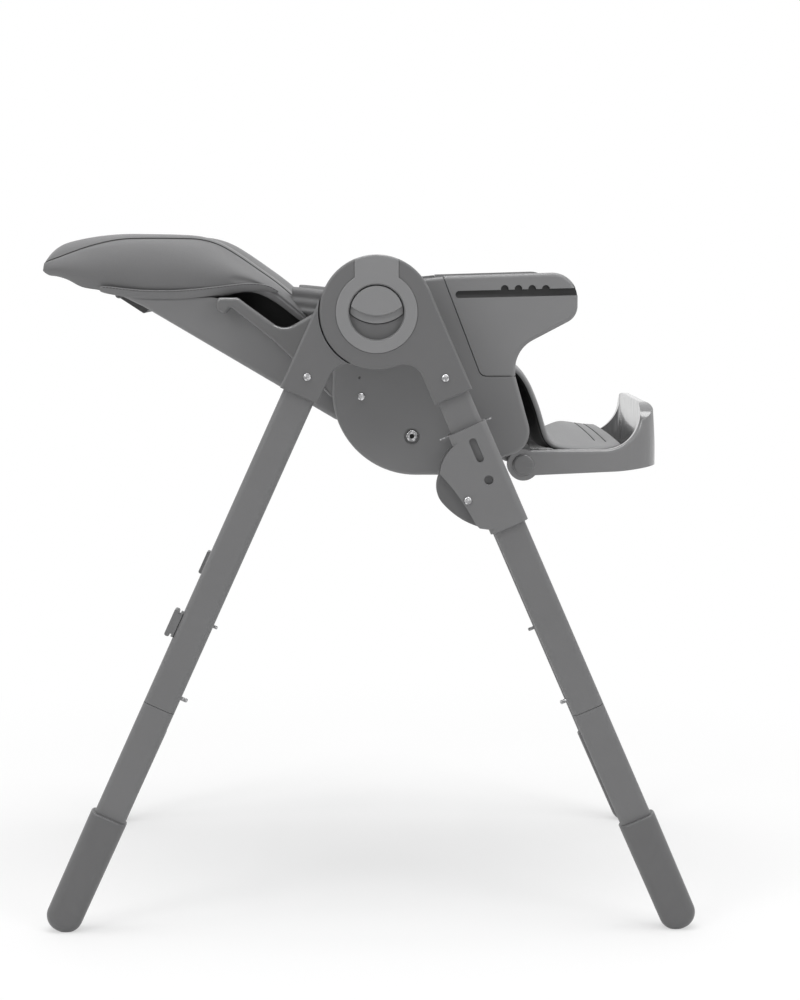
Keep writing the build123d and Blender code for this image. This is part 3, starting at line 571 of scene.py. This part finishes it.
backPad = {
    # up the back and out of its front, in mm: crest, then underside; half width; seam in and down;
    # hollow; belly
    "stations": (
        (8, 24, 4, 6, 128, 12, 1, 3, 14),
        (52, 38, 47, 22, 136, 18, 1, 6, 30),
        (92, 53, 88, 37, 143, 22, 1, 10, 42),
        (126, 62.5, 122, 42, 148, 24, 1, 14, 46),
        (160, 69, 157, 45.5, 152, 26, 1, 18, 44),
        (193, 72, 186, 40, 154, 27, 1, 21, 30),
        (226, 74.5, 214, 17, 155, 28, 1, 23, 8),
        (252, 74, 243, -4, 155, 27, 1, 24, -4),
        (276, 68, 268, -19, 155, 23, 2, 24, -6),
        (303, 54.5, 296, -33.5, 155, 19, 3.5, 22, -6),
        (332, 38, 324, -44.5, 154, 16, 4, 19, -6),
        (360, 21.5, 348, -53, 152, 14, 5.5, 16, -5),
        (386, 3, 370, -61.5, 149, 11, 10, 12, -4),
        (407, -15, 390, -63, 144, 10, 14, 8, -3),
        (421, -30, 404, -66.5, 138, 8, 15, 5, -2),
        (428, -46, 415, -71, 131, 5, 9, 2, 0),
        (428.5, -59, 424, -70, 125, 3, 1, 0, 0),
    ),
    "slope": 30.6,  # degrees
    "hollowFrom": 0.25,  # shares of the half width: the hollow's floor, the crest, the underside's belly
    "crestAt": 0.8,
    "bellyEdge": (0.72, 0.9),
    "belt": 0.42,  # how far up a side panel is widest, and how far it tucks in below
    "tuck": 9,
    "tuckStart": (0, 0.5),  # and where along the back it does
    "tuckEnd": (1, 0.9),
    "counts": (76, 64, 12),
    "pressure": 1.5,
    "swell": 0.004,  # metres at most
    "wingSeam": (17, 47),  # lattice lines where the wings are sewn to the middle
    "headSeam": 52,
    "sideSeam": (5, 8, 27),  # the strap is sewn to the pad below it: lattice line, from, to
    "crease": 2.2,
    "welt": 0.8,
    "weltRise": 0.3,
}

slope = math.radians(backPad["slope"])
upBack = Vector((-math.cos(slope), 0, math.sin(slope)))
outBack = Vector((math.sin(slope), 0, math.cos(slope)))


def backPoint(up, out, across):
    return backPivot + (up * upBack + out * outBack) * mm + Vector((0, across * mm, 0))


def backPadPlace(u, v, w):
    upTop, outTop, upLow, outLow, half, seamIn, seamDown, hollow, belly = glide(backPad["stations"], u)
    a = 2 * v - 1
    crest = backPad["crestAt"]
    lean = Vector((upTop - upLow, outTop - outLow)).normalized()
    dip = hollow * (1 - ease(backPad["hollowFrom"], crest, abs(a)))
    dip += seamDown * max((abs(a) - crest) / (1 - crest), 0) ** 2
    drop = belly * (1 - ease(*backPad["bellyEdge"], abs(a)))
    top = backPoint(upTop - lean.x * dip, outTop - lean.y * dip, a * (half - seamIn))
    tuck = backPad["tuck"] * ease(*backPad["tuckStart"], u) * ease(*backPad["tuckEnd"], u)
    low = backPoint(upLow - lean.x * drop, outLow - lean.y * drop, a * (half - tuck))
    if v not in (0, 1):
        return low.lerp(top, w)
    # a side panel bellies out between the hem and the seam
    belt = backPad["belt"]
    height = w * (math.hypot(upTop - upLow, outTop - outLow) - seamDown)
    inward = tuck * (1 - w / belt) ** 2 if w < belt else seamIn * ((w - belt) / (1 - belt)) ** 2
    return backPoint(upLow + lean.x * height, outLow + lean.y * height, a * (half - inward))


def makeBackPad():
    piece, keys = latticeBox("back_pad", backPad["counts"], backPadPlace)
    long, wide, thick = backPad["counts"]
    head = backPad["headSeam"]
    first, last = backPad["wingSeam"]
    level, low, high = backPad["sideSeam"]
    outer = [(i, 0, thick) for i in range(long + 1)] + [(long, j, thick) for j in range(1, wide)]
    outer += [(i, wide, thick) for i in range(long, -1, -1)]
    inner = [(i, first, thick) for i in range(head)] + [(head, j, thick) for j in range(first, last + 1)]
    inner += [(i, last, thick) for i in range(head - 1, -1, -1)]
    under = [(i, j, level) for j in (0, wide) for i in range(low, high + 1)]
    seams = outer + inner + under
    crease(piece, keys, seams, backPad["crease"])
    pinned = {keys[at] for at in seams} | {index for at, index in keys.items() if at[2] == 0}
    stuff(piece, pinned, backPad["pressure"], backPad["swell"])
    smoothSkin(piece)
    # the pad's underside is lined near black as painted shade
    dress(piece, padLeather, padShadowLining)
    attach(piece, "backrest")
    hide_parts("back_cushion")
    # welts of dark thread laid in the seam grooves as painted shade
    for name, line in (("back_welt", outer), ("back_inner_welt", inner)):
        welt = sewnLine(name, [onSkin(piece, keys, line, backPad["weltRise"])], backPad["welt"])
        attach(welt, "backrest")


makeBackPad()
print("back cushion made")

backHem = {
    # the bound lower edge of each wing, in mm: up the back, out of its front, distance across, width
    "stations": (
        (349, -51.5, 150.5, 7), (337, -46.5, 152, 9.5), (317, -38, 153, 10.5), (297, -28.5, 153.5, 11),
        (268, -12, 153.5, 11.5), (243, 5, 153.5, 11.5), (218, 24, 153.5, 11), (194, 42.5, 154, 10),
        (172, 55, 153.5, 8), (155, 58, 152, 5),
    ),
    "counts": (60, 6, 2),
    "step": 0.01,  # how far ahead and behind its direction is read
    "endPower": 30,  # the width falls off at the very ends
    "endFall": 0.6,
    "thick": 2.4,
    "sunk": 1,
    "roundFrom": 0.12,
    "roundSpan": 0.76,
    "flare": 2.5,
    "rowAt": 0.84,  # the row of stitches
    "rowRise": 0.9,
    "rowSteps": 80,
    "rowEnds": (4, 79),
    "pitch": 4.2,
    "stitch": 2.8,
    "thread": 0.45,
}


def makeBackHem(side, sign):
    def spot(u, v):
        up, out, across, width = glide(backHem["stations"], u)
        ahead = glide(backHem["stations"], min(u + backHem["step"], 1))
        behind = glide(backHem["stations"], max(u - backHem["step"], 0))
        way = Vector((ahead[0] - behind[0], ahead[1] - behind[1])).normalized()
        reach = (v - 0.5) * width * (1 - (2 * u - 1) ** backHem["endPower"] * backHem["endFall"])
        return up + way.y * reach, out - way.x * reach, across + backHem["flare"] * (v - 0.5)

    def place(u, v, w):
        up, out, across = spot(u, v)
        turn = math.pi * (backHem["roundFrom"] + backHem["roundSpan"] * v)
        fat = backHem["thick"] * math.sin(turn) ** 0.5
        return backPoint(up, out, sign * (across - backHem["sunk"] + fat * w))

    piece, _ = latticeBox(f"back_hem_{side}", backHem["counts"], place)
    smoothSkin(piece)
    dress(piece, hemLeather)
    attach(piece, "backrest")
    row = []
    for k in range(*backHem["rowEnds"]):
        up, out, across = spot(k / backHem["rowSteps"], backHem["rowAt"])
        row.append(backPoint(up, out, sign * (across + backHem["rowRise"])))
    stitches = dashes(row, backHem["pitch"] * mm, backHem["stitch"] * mm)
    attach(sewnLine(f"back_hem_stitches_{side}", stitches, backHem["thread"]), "backrest")


for side, sign in sides.items():
    makeBackHem(side, sign)
print("hems made")


# seat liner

seatPad = {
    # ahead of the hub axis: pan, pad top, height of the side flaps, all in mm
    "stations": (
        (2, 650, 662, 794), (30, 655.5, 674, 788), (62, 660, 681, 785), (95, 664, 686, 778),
        (128, 668, 690, 764), (152, 672, 693, 730), (171, 681, 696, 703),
    ),
    "halfBase": 160.5,
    "corner": 24,
    "leastFlap": 0.5,
    "crownFall": 0.25,  # the pad thins towards its front and back ends
    "crownPower": 6,
    "flapReach": 108,  # how far the flaps run back of the pad
    "flapShare": 0.68,  # how much of that they have low down, by this share of their height
    "flapLow": (0, 0.4),
    "flapFrom": (752, 767),  # and the heights between which the rest comes
    "flapThick": 7,
    "counts": (48, 136, 4),
    "pressure": 1.4,
    "swell": 0.004,  # metres at most
    "channels": (12, 24, 36),
    "lines": (42, 51, 68),  # lattice lines from the middle to the foot of a flap, its gathers and its top
    "crease": 2.4,
    "gather": 0.36,
    "roll": 12,  # the flaps' tops lie in rolls behind the shell, and lean in over the back's wings
    "rollDepth": (38, 30),
    "rollRise": 4,
    "leanIn": 24,
    "free": (-45, -65, -110),
    "gatherFrom": (0.009, 0, -0.045),  # points in metres from the hub where the flaps' ends would gather as the back comes up; read but not used
    "gatherTo": (-0.108, 0, 0.072),
}


def seatPadPlace(u, v, w):
    ahead, pan, top, flap = glide(seatPad["stations"], u)
    half, corner = seatPad["halfBase"], seatPad["corner"]
    foot, gathers, tip = seatPad["lines"]
    arc = corner * math.pi / 2
    flat = half - corner
    rise = max(flap - pan - corner, seatPad["leastFlap"])
    plain = rise * (1 - seatPad["gather"])
    side = math.copysign(1, v - 0.5)
    line = abs(2 * v - 1) * tip
    thick = top - pan
    back = roll = 0
    if line <= foot:
        run = (flat + arc) * line / foot
        turn = max(run - flat, 0) / corner
        y = min(run, flat) + corner * math.sin(turn)
        z = pan + corner * (1 - math.cos(turn))
        out = Vector((0, -math.sin(turn) * side, math.cos(turn)))
        fat = lerp(thick, seatPad["flapThick"], turn / (math.pi / 2))
    else:
        climb = plain * min((line - foot) / (gathers - foot), 1)
        climb += (rise - plain) * max((line - gathers) / (tip - gathers), 0)
        y, z = half, pan + corner + climb
        out = Vector((0, -side, 0))
        fat = seatPad["flapThick"]
        roll = abs(math.sin(math.pi * (flap - z) / seatPad["roll"])) ** 0.5
        roll *= ease(*seatPad["rollDepth"], flap - z)
        share = seatPad["flapShare"]
        back = share * ease(*seatPad["flapLow"], climb / rise) + (1 - share) * ease(*seatPad["flapFrom"], z)
    ahead -= back * seatPad["flapReach"] * (1 - u) ** 2
    inner, outer, end = seatPad["free"]
    loose = ease(inner, outer, ahead)
    y -= seatPad["leanIn"] * ease(inner, end, ahead)
    fat += seatPad["rollRise"] * roll * loose
    crown = 1 - seatPad["crownFall"] * (2 * u - 1) ** seatPad["crownPower"]
    skin = lerp(-seatPad["rollRise"] * roll * loose, fat * crown, w)
    return Vector((hub.x + ahead * mm, side * y * mm, z * mm)) + out * skin * mm


def makeSeatPad():
    piece, keys = latticeBox("seat_liner", seatPad["counts"], seatPadPlace)
    long, wide, thick = seatPad["counts"]
    base = seatPad["lines"][2] - seatPad["lines"][0]
    seams = [(i, j, thick) for i in seatPad["channels"] for j in range(base, wide - base + 1)]
    seams += [(i, j, thick) for j in (base, wide - base) for i in range(long + 1)]
    crease(piece, keys, seams, seatPad["crease"])
    pinned = {keys[at] for at in seams}
    for (i, j, layer), index in keys.items():
        if layer == 0 or not base < j < wide - base or i in (0, long):
            pinned.add(index)
    stuff(piece, pinned, seatPad["pressure"], seatPad["swell"])
    smoothSkin(piece)
    dress(piece, padLeather)
    gatherFrom, gatherTo = (hub + Vector(seatPad[key]) for key in ("gatherFrom", "gatherTo"))
    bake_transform(piece)
    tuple(gatherFrom)
    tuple(gatherTo)
    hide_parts("seat_cushion")


makeSeatPad()
print("seat liner made")


# leg liner: hangs from the seat's front edge and lies on the footrest

legPad = {
    # ahead of the hub axis and height of its back face, half width, room behind it, in mm
    "stations": (
        (164, 689, 122, 0), (177, 682.5, 121, 2), (187.5, 669, 117, 8), (195.5, 652, 113, 12),
        (203, 632, 110, 14), (208.5, 613, 108, 14), (215, 596, 107, 10), (227, 584.5, 106, 2),
        (246, 580.5, 105, 0), (266, 579.5, 104, 0), (286, 580.5, 103, 0), (301, 583, 101, 0),
        (310, 586, 97, 0),
    ),
    "step": 0.004,  # how far ahead and behind its direction is read
    "thick": 8,
    "crown": 3,
    "sideThin": (0.45, 0.94),  # how much thinner it gets, and from where, at its sides and its foot end
    "endThin": (0.3, 0.95),
    "roomEdge": (0.6, 0.85),
    "askew": (-7, 10),  # the foot end lies a little turned and tipped
    "askewFrom": (0.5, 0.75),
    "settle": (0.5, 0.7),  # how much less it is tipped at the very end, and from where
    "counts": (60, 48, 2),
    "pressure": 1.0,
    "swell": 0.003,  # metres at most
    "endSeams": ((49, 10), (53, 7)),  # lattice line, and where it stops short of the right edge
    "crease": 1.6,
    "thread": 0.7,
    "threadRise": 0.2,
    "bendFrom": (0.2, 0, -0.13),  # points in metres from the hub over the footrest's hinge, where it would bend; read but not used
    "bendTo": (0.25, 0, -0.18),
}


def legPadPlace(u, v, w):
    ahead, height, half, room = glide(legPad["stations"], u)
    nextAhead, nextHeight, *_ = glide(legPad["stations"], min(u + legPad["step"], 1))
    lastAhead, lastHeight, *_ = glide(legPad["stations"], max(u - legPad["step"], 0))
    along = Vector((nextAhead - lastAhead, 0, nextHeight - lastHeight)).normalized()
    out = Vector((-along.z, 0, along.x))
    a = 2 * v - 1
    sideThin, sideFrom = legPad["sideThin"]
    endThin, endFrom = legPad["endThin"]
    thin = 1 - sideThin * ease(sideFrom, 1, abs(a)) - endThin * ease(endFrom, 1, u)
    back = -room * (1 - ease(*legPad["roomEdge"], abs(a))) * (1 - w)
    fat = legPad["thick"] * (0.5 + (w - 0.5) * thin) + legPad["crown"] * w * (1 - a * a) + back
    foot = ease(*legPad["askewFrom"], u)
    turn, tip = legPad["askew"]
    settled, settleFrom = legPad["settle"]
    point = Vector((hub.x + ahead * mm, a * half * mm, height * mm)) + out * fat * mm
    lift = tip * (a + 1) * foot * (1 - settled * ease(settleFrom, 1, u))
    return point + Vector((turn * a * foot * mm, 0, lift * mm))


def makeLegPad():
    piece, keys = latticeBox("leg_liner", legPad["counts"], legPadPlace)
    long, wide, thick = legPad["counts"]
    seams = [[(i, j, thick) for j in range(short, wide - 1)] for i, short in legPad["endSeams"]]
    sewn = sum(seams, [])
    for at in sewn:  # one by one, so that each follows the dent before it
        vertex = piece.data.vertices[keys[at]]
        vertex.co -= vertex.normal * legPad["crease"] * mm
    pinned = {keys[at] for at in sewn}
    for (i, j, layer), index in keys.items():
        if layer == 0 or j in (0, wide) or i in (0, long):
            pinned.add(index)
    stuff(piece, pinned, legPad["pressure"], legPad["swell"])
    smoothSkin(piece)
    lines = [onSkin(piece, keys, seam, legPad["threadRise"]) for seam in seams]
    # the liner's underside is lined near black as painted shade
    dress(piece, linerLeather, padShadowLining)
    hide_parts("calf_pad", "foot_pad")
    bend = [hub + Vector(legPad[key]) for key in ("bendFrom", "bendTo")]
    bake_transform(piece)
    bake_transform(sewnLine("leg_end_seams", lines, legPad["thread"]))


makeLegPad()
print("leg liner made")


# seals round the fold paddles

seal = {
    # mm: middle of the lip and its roundness, distance out, and how far a skirt reaches in to the bracket
    "ring": 33.5,
    "lip": 0.48,
    "out": 269.6,
    "skirt": 3,
    "segments": (96, 12),
}


def makeSeal(side, sign):
    around, section = seal["segments"]
    bpy.ops.object.select_all(action="DESELECT")
    bpy.ops.mesh.primitive_torus_add(
        major_radius=seal["ring"] * mm, minor_radius=seal["lip"] * mm,
        major_segments=around, minor_segments=section,
        location=(hub.x, sign * seal["out"] * mm, hub.z), rotation=(math.pi / 2, 0, 0))
    ring = bpy.context.view_layer.objects.active
    ring.name = f"paddle_seal_{side}"
    bpy.ops.object.transform_apply(location=True, rotation=True, scale=True)
    pickPoints(ring, lambda at: at.y * sign < (seal["out"] - seal["lip"] / 4) * mm)
    bpy.ops.transform.translate(value=(0, -sign * seal["skirt"] * mm, 0))
    bpy.ops.object.mode_set(mode="OBJECT")
    bpy.ops.object.shade_smooth()
    dress(ring, trimPlastic)
    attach(ring, "front_frame")


for side, sign in sides.items():
    makeSeal(side, sign)
print("seals made")


# gaskets between the shell and the tray rails

gasket = {
    # mm: ends ahead of the hub axis and in height, distance out, section
    "top": (82.6, 806),
    "foot": (129.6, 684),
    "out": 171,
    "thick": 0.8,
    "deep": 9,
    "round": 0.25,
}


def makeGasket(side, sign):
    topX, topZ = gasket["top"]
    footX, footZ = gasket["foot"]
    long = math.hypot(topX - footX, topZ - footZ)
    middle = (hub.x + (topX + footX) / 2 * mm, sign * gasket["out"] * mm, (topZ + footZ) / 2 * mm)
    bpy.ops.object.select_all(action="DESELECT")
    bpy.ops.mesh.primitive_cube_add(
        size=1, location=middle, rotation=(0, math.atan2(topX - footX, topZ - footZ), 0),
        scale=(gasket["thick"] * mm, gasket["deep"] * mm, long * mm))
    strip = bpy.context.view_layer.objects.active
    strip.name = f"rail_gasket_{side}"
    bpy.ops.object.transform_apply(location=True, rotation=True, scale=True)
    pickPoints(strip, lambda at: True)
    bpy.ops.mesh.bevel(offset=gasket["round"] * mm, segments=3, affect="EDGES")
    bpy.ops.object.mode_set(mode="OBJECT")
    bpy.ops.object.shade_smooth_by_angle()
    dress(strip, triggerPlastic)
    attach(strip, "seat")


for side, sign in sides.items():
    makeGasket(side, sign)
print("gaskets made")


# stage

stage = {
    "floorSize": 12,
    "floorTone": 0.86,
    "floorRoughness": 0.9,
    "shadowWhite": 0.5,  # how white the floor is seen under the chair, and metres over which it turns white
    "fade": (0.35, 1.3),
    "nearSide": 0.17,  # the room as light: its two sides, where one turns into the other, its top
    "backdrop": 1.0,
    "turn": (-0.5, 0.6),
    "climb": (0.1, 1),
    "overhead": 0.35,
}


def makeFloor():
    bpy.ops.object.select_all(action="DESELECT")
    bpy.ops.mesh.primitive_grid_add(x_subdivisions=2, y_subdivisions=2, size=stage["floorSize"])
    floor = bpy.context.view_layer.objects.active
    floor.name = "floor"
    finish = Finish("paleFloor")
    finish.set(colour=grey(stage["floorTone"], cool=1), roughness=stage["floorRoughness"])
    glow = finish.node("ShaderNodeEmission", None, {"Color": (1, 1, 1, 1), "Strength": 1.0})
    paint = Wire(finish, finish.shader.outputs[0])
    least = stage["shadowWhite"]
    away = finish.span(finish.length(finish.place), *stage["fade"])
    white = (away * (1 - least) + least) * finish.seen()
    mix = finish.node("ShaderNodeMixShader", None, {0: white, 1: paint, 2: glow})
    finish.join(finish.tree.nodes["Material Output"].inputs["Surface"], mix)
    floor.data.materials.append(finish.owner)


def makeWorld():
    # white where it is seen; as light, a bright backdrop and a dimmer near side
    world = bpy.data.worlds.new("studio")
    bpy.context.scene.world = world
    finish = Finish("studio", world)
    direction = finish.node("ShaderNodeTexCoord", output="Generated")
    away = finish.span(finish.part(direction, "Y"), *stage["turn"])
    high = finish.span(finish.part(direction, "Z"), *stage["climb"])
    near, far = (grey(stage[key], cool=1) for key in ("nearSide", "backdrop"))
    room = finish.tint(away + high * stage["overhead"], near, far)
    colour = finish.tint(finish.seen(), room, grey(1, cool=1))
    finish.join(finish.tree.nodes["Background"].inputs["Color"], colour)


lamps = {
    # place, aim, size and power
    "leftBox": ((-1.9, -2.1, 2.3), (0, 0, 0.6), (0.9, 1.5), 20),
    "rightBox": ((1.9, -2.0, 2.2), (0, 0, 0.6), (0.9, 1.5), 15),
    "topBox": ((0, -0.35, 2.9), (0, 0, 0.5), (2.4, 0.8), 36),
}


def makeLamps():
    for name, (place, aim, size, power) in lamps.items():
        light = bpy.data.lights.new(name, "AREA")
        light.shape = "RECTANGLE"
        light.size, light.size_y = size
        light.energy = power
        lamp = bpy.data.objects.new(name, light)
        bpy.context.scene.collection.objects.link(lamp)
        lamp.location = place
        lamp.rotation_euler = (Vector(aim) - Vector(place)).to_track_quat("-Z", "Y").to_euler()


camera = {
    # metres ahead of the hub, away from the chair and up; degrees turned down and right; millimetres
    "ahead": -0.01027,
    "away": -2.69,
    "height": 0.82217,
    "down": 6.664,
    "right": 0.901,
    "lens": 72.72,
    "sensor": 36,
}


def makeCamera():
    data = bpy.data.cameras.new("camera")
    data.lens = camera["lens"]
    data.sensor_width = camera["sensor"]
    view = bpy.data.objects.new("camera", data)
    bpy.context.scene.collection.objects.link(view)
    view.location = (hub.x + camera["ahead"], camera["away"], camera["height"])
    view.rotation_euler = (math.radians(90 - camera["down"]), 0, math.radians(-camera["right"]))
    bpy.context.scene.camera = view


makeFloor()
makeWorld()
makeLamps()
makeCamera()
bpy.context.scene.view_settings.view_transform = "Standard"
print("stage set")
